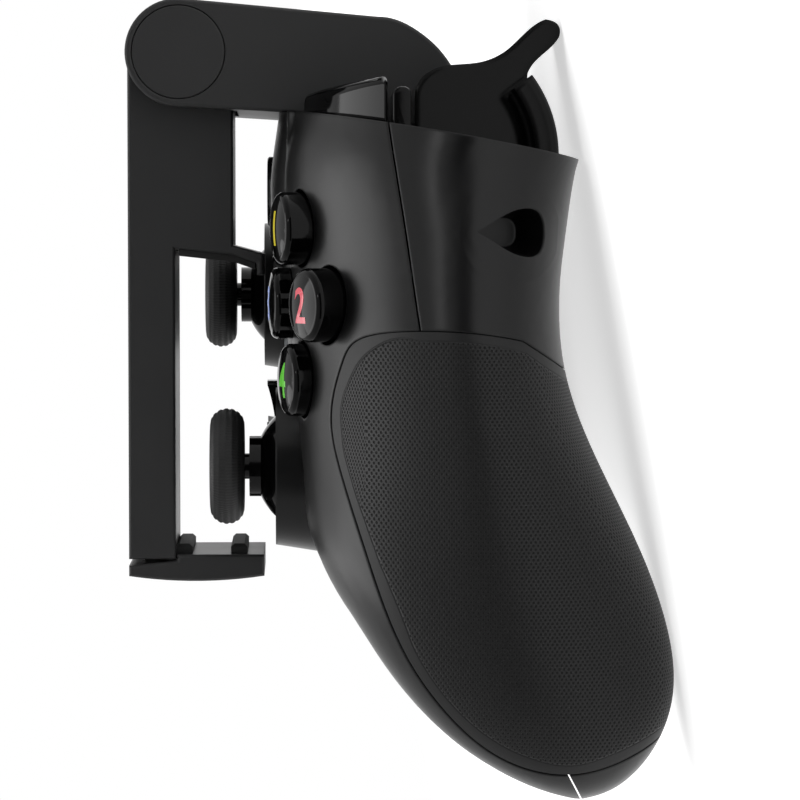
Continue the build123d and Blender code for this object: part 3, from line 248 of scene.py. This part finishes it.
# Dimpled grip panels, with the outline's points as shares of the casing's height, from its top, and depth
CASING_TOP = 26.0
CASING_HEIGHT = 106.4
CASING_DEPTH = 54.0
PAD_MIDDLE = (0.66, -0.60)
PAD_OUTLINE = (
    (0.385, -0.591), (0.375, -0.477), (0.372, -0.320), (0.376, -0.231), (0.393, -0.152), (0.418, -0.128),
    (0.499, -0.099), (0.573, -0.128), (0.670, -0.189), (0.815, -0.305), (0.871, -0.385), (0.937, -0.541),
    (0.956, -0.713), (0.933, -0.881), (0.880, -1.100), (0.500, -1.100), (0.440, -0.760),
)
SIDE_STEPS = 12
TURN_STEPS = 31
LARGEST_REACH = 80.0
GRIP_COLOR = (0.008, 0.008, 0.0083)
# Painted shade: the darker colour given to the dimples' hollows
DIMPLE_PAINTED_SHADE = (0.002, 0.002, 0.002)
GRIP_ROUGH = 0.44
HOLE_ROUGH = 0.75
DIMPLE_CELL = (0.66, 0.98, 1.0)
DIMPLE_STRETCH = (1.0, 1.25, 0)
DIMPLE_CORE = 0.13
DIMPLE_RIM = 0.31
DIMPLE_DEPTH = 0.16
BORDER_START = 1.15
BORDER_END = 1.6
GROOVE_PLACE = 1.35
GROOVE_WIDTH = 0.22
GROOVE_SHARE = 0.6
SIDE_FACING = 0.55


def pad_place(down, back):
    """Y and Z in the face frame of a point of the outline."""
    return CASING_TOP - down * CASING_HEIGHT, back * CASING_DEPTH


def pad_reaches():
    """Outline of the panel as reach against angle around its middle, 0 to 1 for a whole turn."""
    middle = np.array(pad_place(*PAD_MIDDLE))
    corners = np.array([pad_place(*point) for point in PAD_OUTLINE]) - middle
    dense = []
    for first, second in zip(corners, np.roll(corners, -1, axis=0)):
        dense += [first + (second - first) * step / SIDE_STEPS for step in range(SIDE_STEPS)]
    dense = np.array(dense)
    angles = (np.arctan2(dense[:, 1], dense[:, 0]) / (2 * math.pi)) % 1.0
    reaches = np.hypot(dense[:, 0], dense[:, 1])
    order = np.argsort(angles)
    steps = np.linspace(0, 1, TURN_STEPS)
    return middle, steps, np.interp(steps, angles[order], reaches[order], period=1.0)


def dimple_distance(graph, u, v):
    """Distance to the nearest dimple's middle, in a pattern of two interleaved grids."""
    spots = graph.joined(u, v)
    distances = []
    for offset in ((0, 0, 0), (0.5, 0.5, 0)):
        cells = graph.vector("ADD", graph.vector("DIVIDE", spots, DIMPLE_CELL), offset)
        local = graph.vector("SUBTRACT", graph.vector("FRACTION", cells), (0.5, 0.5, 0))
        distances.append(graph.length(graph.vector("MULTIPLY", local, DIMPLE_STRETCH)))
    return graph.math("MINIMUM", *distances)


def edge_distance(graph, y, z):
    """Distance inwards from the panel's outline, in millimetres."""
    middle, steps, reaches = pad_reaches()
    away = graph.vector("SUBTRACT", graph.joined(y, z), (*middle, 0))
    dy, dz, _ = graph.parts(away)
    angle = graph.math("ARCTAN2", dz, dy)
    share = graph.math("FRACT", graph.math("ADD", graph.math("DIVIDE", angle, 2 * math.pi), 1.0))
    curve = graph.tree.nodes.new("ShaderNodeFloatCurve")
    graph.tree.links.new(share, curve.inputs["Value"])
    line = curve.mapping.curves[0]
    line.points[0].location = (0.0, reaches[0] / LARGEST_REACH)
    line.points[1].location = (1.0, reaches[-1] / LARGEST_REACH)
    for step, value in zip(steps[1:-1], reaches[1:-1]):
        line.points.new(step, value / LARGEST_REACH)
    curve.mapping.update()
    outline = graph.math("MULTIPLY", curve.outputs["Value"], LARGEST_REACH)
    return graph.math("SUBTRACT", outline, graph.length(away))


def dimpled():
    """Black rubber with a close pattern of small oval dimples inside a smooth border with a groove."""
    graph = Graph("grip rubber", GRIP_COLOR, 0.48, 0.27)
    x, y, z = graph.parts(graph.face_place())
    geometry = graph.tree.nodes.new("ShaderNodeNewGeometry")
    turned = graph.parts(graph.vector("ABSOLUTE", geometry.outputs["Normal"]))
    from_side = graph.math("GREATER_THAN", turned[0], SIDE_FACING)
    from_front = graph.math("SUBTRACT", 1.0, from_side)
    distance = graph.math(
        "ADD",
        graph.math("MULTIPLY", dimple_distance(graph, z, y), from_side),
        graph.math("MULTIPLY", dimple_distance(graph, x, y), from_front),
    )
    to_edge = edge_distance(graph, y, z)
    inside = graph.between(to_edge, BORDER_START, BORDER_END, 0.0, 1.0)
    hole = graph.math("MULTIPLY", graph.between(distance, DIMPLE_CORE, DIMPLE_RIM, 1.0, 0.0), inside)
    from_groove = graph.math("ABSOLUTE", graph.math("SUBTRACT", to_edge, GROOVE_PLACE))
    groove = graph.math("MULTIPLY", graph.between(from_groove, 0.0, GROOVE_WIDTH, 1.0, 0.0), GROOVE_SHARE)
    height = graph.math("SUBTRACT", 1.0, graph.math("MAXIMUM", hole, groove))
    grain = graph.bump(graph.noise(2600.0, 2.0), 0.012)
    graph.set("Normal", graph.bump(height, DIMPLE_DEPTH, grain))
    # The dimples' hollows are painted darker, which is painted shade in the recesses, and are also made
    # rougher
    graph.set("Base Color", graph.tint(hole, GRIP_COLOR, DIMPLE_PAINTED_SHADE))
    graph.set("Roughness", graph.between(hole, 0.0, 1.0, GRIP_ROUGH, HOLE_ROUGH))
    return graph.material


GRIP = dimpled()

FINISHES = {
    CASING: ("front_shell", "rear_shell"),
    GLOSS: (
        "top_bridge", "right_shoulder_bracket", "left_shoulder_bracket", "right_bumper", "left_bumper",
        "right_stick_yoke", "left_stick_yoke", "right_stick_stem", "left_stick_stem",
        "direction_pad_pivot", "direction_pad", "button_one", "button_two", "button_three", "button_four",
        "view_button", "menu_button", "share_button", "mode_switch",
    ),
    TRIGGER: ("right_trigger", "left_trigger"),
    CLIP: ("clip_arm", "right_hinge_disc", "left_hinge_disc", "clip_body", "clip_cover", "sliding_jaw"),
    GRIP: ("right_grip_pad", "left_grip_pad"),
    JAW_RUBBER: (
        "upper_jaw_pad", "lower_jaw_pads", "hinge_washers", "right_stick_cap", "left_stick_cap",
    ),
    MAT_RUBBER: ("action_button_mat",),
    STEEL: (
        "usb_c_port", "casing_screws", "clip_screws", "hinge_pin", "right_rumble_motor",
        "left_rumble_motor", "right_trigger_pin", "left_trigger_pin", "right_trigger_spring",
        "left_trigger_spring", "right_stick_housing", "left_stick_housing", "jaw_springs",
    ),
    BRASS: ("right_rumble_weight", "left_rumble_weight"),
    BOARD: ("main_board",),
    CELL: ("battery",),
    LIGHT: ("status_light",),
    HOME: ("home_button",),
}
for finish, names in FINISHES.items():
    for name in names:
        mesh = nodes[name].data
        mesh.materials.clear()
        mesh.materials.append(finish)


# Moulded edges: how far the bumpers and the brackets beside them are softened, in millimetres
SOFT_EDGES = {
    "right_bumper": 0.8,
    "left_bumper": 0.8,
    "right_shoulder_bracket": 0.35,
    "left_shoulder_bracket": 0.35,
}
WELD_REACH = 0.005
FLAT_ANGLE = 0.6
SHARP_ANGLE = 38


def soften(item, reach):
    """Join the mesh, clear its flat faces of inner edges and bevel the sharp edges that are left."""
    weld = item.modifiers.new("weld", "WELD")
    weld.merge_threshold = WELD_REACH / PER_METRE
    flat = item.modifiers.new("flat", "DECIMATE")
    flat.decimate_type = "DISSOLVE"
    flat.angle_limit = math.radians(FLAT_ANGLE)
    bevel = item.modifiers.new("bevel", "BEVEL")
    bevel.width = reach / PER_METRE
    bevel.segments = 3
    bevel.limit_method = "ANGLE"
    bevel.angle_limit = math.radians(SHARP_ANGLE)
    bevel.use_clamp_overlap = False
    bevel.miter_outer = "MITER_ARC"
    even = item.modifiers.new("even", "WEIGHTED_NORMAL")
    even.keep_sharp = False


for name, reach in SOFT_EDGES.items():
    soften(nodes[name], reach)


# Pieces of the scene's own
def make_object(name, mesh, finish, slot, body, *replaced):
    """Piece of the given mesh and finish that rides on a body, in place of the replaced nodes."""
    piece = bpy.data.objects.new(name, mesh)
    bpy.context.scene.collection.objects.link(piece)
    mesh.materials.clear()
    mesh.materials.append(finish)
    for face in mesh.polygons:
        face.use_smooth = True
    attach(piece, body)
    if replaced:
        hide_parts(*replaced)


# Stick caps: a round rim with fine knurling, a dished top and a short neck
PIVOT_DEPTH = 7.4
STICK_REACH = 17.6
STICKS = {
    "right": {"x": 19.0, "y": -35.9, "boss": 3.0, "rise": 0.0},
    "left": {"x": -38.0, "y": -10.2, "boss": 5.2, "rise": -0.1},
}
CAP_RADIUS = 9.0
CAP_NECK = 2.2
CAP_THICKNESS = 5.3
CAP_ROUND = 2.4
CAP_DISH = 1.1
CAP_TURNS = 336
RIM_STEPS = 24
DISH_STEPS = 12
DISH_SLOPE = 1.5
DISH_ROUND = 1.3
DISH_END = 0.0001
KNURL_PITCH = 3
KNURL_DEPTH = 0.16


def cap_profile():
    """Radius and height from the neck round the rim to the middle of the top, and which are knurled."""
    rim_middle = CAP_RADIUS - CAP_ROUND
    points = [(CAP_NECK, 0.0), (rim_middle, 0.0)]
    knurled = [False, False]
    for step in range(1, RIM_STEPS + 1):
        angle = math.radians(-90 + 180 * step / RIM_STEPS)
        height = CAP_THICKNESS / 2 + (CAP_THICKNESS / 2) * math.sin(angle)
        points.append((rim_middle + CAP_ROUND * math.cos(angle), height))
        knurled.append(step > 1)
    for step in range(1, DISH_STEPS + 1):
        share = step / DISH_STEPS
        drop = CAP_DISH * min(1.0, share * DISH_SLOPE) ** DISH_ROUND
        points.append((max(rim_middle * (1 - share), DISH_END), CAP_THICKNESS - drop))
        knurled.append(False)
    return points, knurled


def knurl_drop(turn, row):
    """Depth of the knurling, where one turn of three is down, and one row of three of the profile."""
    return KNURL_DEPTH if turn % KNURL_PITCH == 0 or row % KNURL_PITCH == 0 else 0.0


def cap_mesh(name, x, y, bottom):
    """Mesh of the cap's profile turned about the face frame's Z."""
    profile, knurled = cap_profile()
    points = []
    for turn in range(CAP_TURNS):
        angle = 2 * math.pi * turn / CAP_TURNS
        for row, (radius, height) in enumerate(profile):
            reach = radius - (knurl_drop(turn, row) if knurled[row] else 0.0)
            place = Vector((x + reach * math.cos(angle), y + reach * math.sin(angle), bottom + height))
            points.append(FACE @ place)
    rows = len(profile)
    faces = []
    for turn in range(CAP_TURNS):
        here = turn * rows
        after = (turn + 1) % CAP_TURNS * rows
        for row in range(rows - 1):
            faces.append((here + row, after + row, after + row + 1, here + row + 1))
    mesh = bpy.data.meshes.new(name)
    mesh.from_pydata(points, [], faces)
    joined = bmesh.new()
    joined.from_mesh(mesh)
    bmesh.ops.remove_doubles(joined, verts=joined.verts, dist=DISH_END / PER_METRE)
    bmesh.ops.recalc_face_normals(joined, faces=joined.faces)
    joined.to_mesh(mesh)
    joined.free()
    return mesh


for side, stick in STICKS.items():
    cap_bottom = stick["boss"] - PIVOT_DEPTH + STICK_REACH + stick["rise"] - CAP_THICKNESS
    mesh = cap_mesh(f"{side} cap", stick["x"], stick["y"], cap_bottom)
    cap_node = f"{side}_stick_cap"
    make_object(f"{side}_cap_knurled", mesh, STICK_RUBBER, "stick_rubber", cap_node, cap_node)


# Numbers on the action buttons, laid on the domes. A lean is the dome's, to the right hand, in degrees
FIGURE_SIZE = 7.2
FIGURE_WEIGHT = 0.12
FIGURE_LIFT = 0.03
FIGURE_SPLITS = 3
FIGURE_PAINTED_GLOW = 0.25
DOME_RADIUS = 19.6
FIGURES = {
    "button_one": {"top": (42.0, 1.0, 3.1), "lean": 15.0, "figure": "1", "color": (0.75, 0.62, 0.02)},
    "button_two": {"top": (53.0, -10.2, -0.6), "lean": 25.0, "figure": "2", "color": (0.7, 0.004, 0.04)},
    "button_three": {"top": (31.0, -10.3, 4.1), "lean": 6.0, "figure": "3", "color": (0.02, 0.16, 0.72)},
    "button_four": {"top": (42.0, -21.5, 2.0), "lean": 15.0, "figure": "4", "color": (0.12, 0.62, 0.03)},
}


def number_ink_and_painted_glow(name, color):
    """Coloured print below a clear coat, which also glows a little as painted light."""
    graph = Graph(name, color, 0.25, coat=0.6)
    graph.set("Base Color", graph.tint(graph.noise(900.0, 2.0), scaled(color, 0.9), color))
    # Painted light: the print glows, though it is no lamp
    graph.shader.inputs["Emission Color"].default_value = (*color, 1)
    graph.shader.inputs["Emission Strength"].default_value = FIGURE_PAINTED_GLOW
    return graph.material


def flat_figure(name, figure):
    """Flat mesh of a figure, from the font."""
    text = bpy.data.curves.new(name, "FONT")
    text.body = figure
    text.align_x = "CENTER"
    text.align_y = "CENTER"
    text.size = FIGURE_SIZE
    text.offset = FIGURE_WEIGHT
    holder = bpy.data.objects.new("figure", text)
    bpy.context.scene.collection.objects.link(holder)
    bpy.context.view_layer.update()
    flat = bpy.data.meshes.new_from_object(holder.evaluated_get(bpy.context.evaluated_depsgraph_get()))
    bpy.data.objects.remove(holder)
    return flat


def figure_mesh(name, figure, top, lean):
    """Mesh of a figure, centred on the top of a leaning dome and bent to it."""
    shape = bmesh.new()
    shape.from_mesh(flat_figure(name, figure))
    bmesh.ops.triangulate(shape, faces=shape.faces)
    for _ in range(FIGURE_SPLITS):
        bmesh.ops.subdivide_edges(shape, edges=shape.edges, cuts=1, use_grid_fill=True)
    places_x = [v.co.x for v in shape.verts]
    places_y = [v.co.y for v in shape.verts]
    centre_x = (min(places_x) + max(places_x)) / 2
    centre_y = (min(places_y) + max(places_y)) / 2
    angle = math.radians(lean)
    across = Vector((math.cos(angle), 0, -math.sin(angle)))
    out = Vector((math.sin(angle), 0, math.cos(angle)))
    up = Vector((0, 1, 0))
    for v in shape.verts:
        u = v.co.x - centre_x
        w = v.co.y - centre_y
        drop = (u * u + w * w) / (2 * DOME_RADIUS)
        v.co = FACE @ (Vector(top) + across * u + up * w + out * (FIGURE_LIFT - drop))
    mesh = bpy.data.meshes.new(name)
    shape.to_mesh(mesh)
    shape.free()
    return mesh


for name, look in FIGURES.items():
    mesh = figure_mesh(f"{name} figure", look["figure"], look["top"], look["lean"])
    make_object(f"{name}_figure", mesh, number_ink_and_painted_glow(f"{name} ink", look["color"]), "gloss_black", name)


# Studio in metres: a white floor with a low white wall round it, a dark card, a world and far lamps
WALL_REACH = 3.0
WALL_HEIGHT = 0.9
WALL_SIDES = 48
CARD_PLACE = 1.25
CARD_HALF_WIDTH = 0.9
CARD_HEIGHT = 0.7
WORLD_LIGHT = 0.28


def seen_white(name, shade, glow, sight_only):
    """White paint for the studio, made lighter where it is seen straight, in a mirror or through glass."""
    white = (shade, shade, shade)
    graph = Graph(name, white, 0.95, 0.0)
    graph.set("Base Color", graph.tint(graph.noise(6.0), scaled(white, 0.99), scaled(white, 1.01)))
    path = graph.tree.nodes.new("ShaderNodeLightPath").outputs
    seen = graph.math("MAXIMUM", path["Is Camera Ray"], path["Is Glossy Ray"])
    seen = graph.math("MAXIMUM", seen, path["Is Transmission Ray"])
    glowing = graph.tree.nodes.new("ShaderNodeEmission")
    glowing.inputs["Color"].default_value = (1, 1, 1, 1)
    graph.feed(glowing.inputs["Strength"], graph.math("MULTIPLY", seen, glow))
    output = graph.tree.nodes["Material Output"]
    if sight_only:
        mix = graph.tree.nodes.new("ShaderNodeMixShader")
        graph.feed(mix.inputs[0], seen)
    else:
        mix = graph.tree.nodes.new("ShaderNodeAddShader")
    graph.tree.links.new(graph.shader.outputs[0], mix.inputs[-2])
    graph.tree.links.new(glowing.outputs[0], mix.inputs[-1])
    graph.tree.links.new(mix.outputs[0], output.inputs["Surface"])
    return graph.material


def stage_piece(name, points, faces, finish):
    """Piece of the studio: the floor, the wall round it or the dark card."""
    mesh = bpy.data.meshes.new(name)
    mesh.from_pydata(points, [], faces)
    mesh.materials.append(finish)
    piece = bpy.data.objects.new(name, mesh)
    bpy.context.scene.collection.objects.link(piece)
    return piece


def distant_lamp(name, direction, spread, strength):
    """Far lamp that shines from a direction, as wide as its spread in degrees."""
    data = bpy.data.lights.new(name, "SUN")
    data.angle = math.radians(spread)
    data.energy = strength
    item = bpy.data.objects.new(name, data)
    bpy.context.scene.collection.objects.link(item)
    item.rotation_mode = "QUATERNION"
    item.rotation_quaternion = (-Vector(direction)).to_track_quat("-Z", "Y")


wall_points = []
wall_faces = []
for side in range(WALL_SIDES):
    angle = 2 * math.pi * side / WALL_SIDES
    after = (side + 1) % WALL_SIDES
    for height in (0.0, WALL_HEIGHT):
        wall_points.append((WALL_REACH * math.cos(angle), WALL_REACH * math.sin(angle), height))
    wall_faces.append((2 * side, 2 * after, 2 * after + 1, 2 * side + 1))
floor_points = [point for point in wall_points if point[2] == 0.0]
FLOOR_PAINT = seen_white("floor paint", 0.9, 0.6, sight_only=False)
WALL_PAINT = seen_white("wall paint", 0.9, 1.0, sight_only=True)
stage_piece("floor", floor_points, [tuple(range(WALL_SIDES))], FLOOR_PAINT)
stage_piece("wall", wall_points, wall_faces, WALL_PAINT)

# The card stands behind the camera and keeps the sides that face it deep black
CARD_PAINT = moulded("card felt", (0.12, 0.12, 0.12), 0.95, 0.0, (2.0, 0.05))
card_points = [
    (CARD_PLACE, -CARD_HALF_WIDTH, 0.0),
    (CARD_PLACE, CARD_HALF_WIDTH, 0.0),
    (CARD_PLACE, CARD_HALF_WIDTH, CARD_HEIGHT),
    (CARD_PLACE, -CARD_HALF_WIDTH, CARD_HEIGHT),
]
card = stage_piece("card", card_points, [(0, 1, 2, 3)], CARD_PAINT)
card.visible_camera = False

world = bpy.data.worlds.new("studio")
bpy.context.scene.world = world
world.use_nodes = True
background = world.node_tree.nodes["Background"]
background.inputs["Color"].default_value = (1, 1, 1, 1)
background.inputs["Strength"].default_value = WORLD_LIGHT

distant_lamp("key", (-0.36, 0.1, 1.0), spread=32, strength=0.5)
distant_lamp("dome", (0.0, 0.0, 1.0), spread=150, strength=1.2)
distant_lamp("rim", (-1.0, -0.1, 1.15), spread=14, strength=0.06)
distant_lamp("spark", (0.55, 0.45, 0.8), spread=5, strength=0.12)

# Camera: its distance from the middle of the face in millimetres and its focal length in pixels
PHOTO_SIDE = 800
FOCAL_PIXELS = 3332
SENSOR_WIDTH = 36.0
CAMERA_REACH = 537
SIGHT = (-1, -0.0495, -0.0315)
camera_data = bpy.data.cameras.new("camera")
camera_data.sensor_width = SENSOR_WIDTH
camera_data.lens = FOCAL_PIXELS * SENSOR_WIDTH / PHOTO_SIDE
camera_data.clip_start = 0.01
camera_data.clip_end = 20
camera = bpy.data.objects.new("camera", camera_data)
bpy.context.scene.collection.objects.link(camera)
forward = along(*SIGHT)
right = forward.cross(along(0, 1, 0)).normalized()
up = right.cross(forward)
turned = Matrix((right, up, -forward)).transposed().to_4x4()
camera.matrix_world = Matrix.Translation(at(CAMERA_REACH, 0, 0)) @ turned
bpy.context.scene.camera = camera

bpy.context.scene.view_settings.view_transform = "Standard"
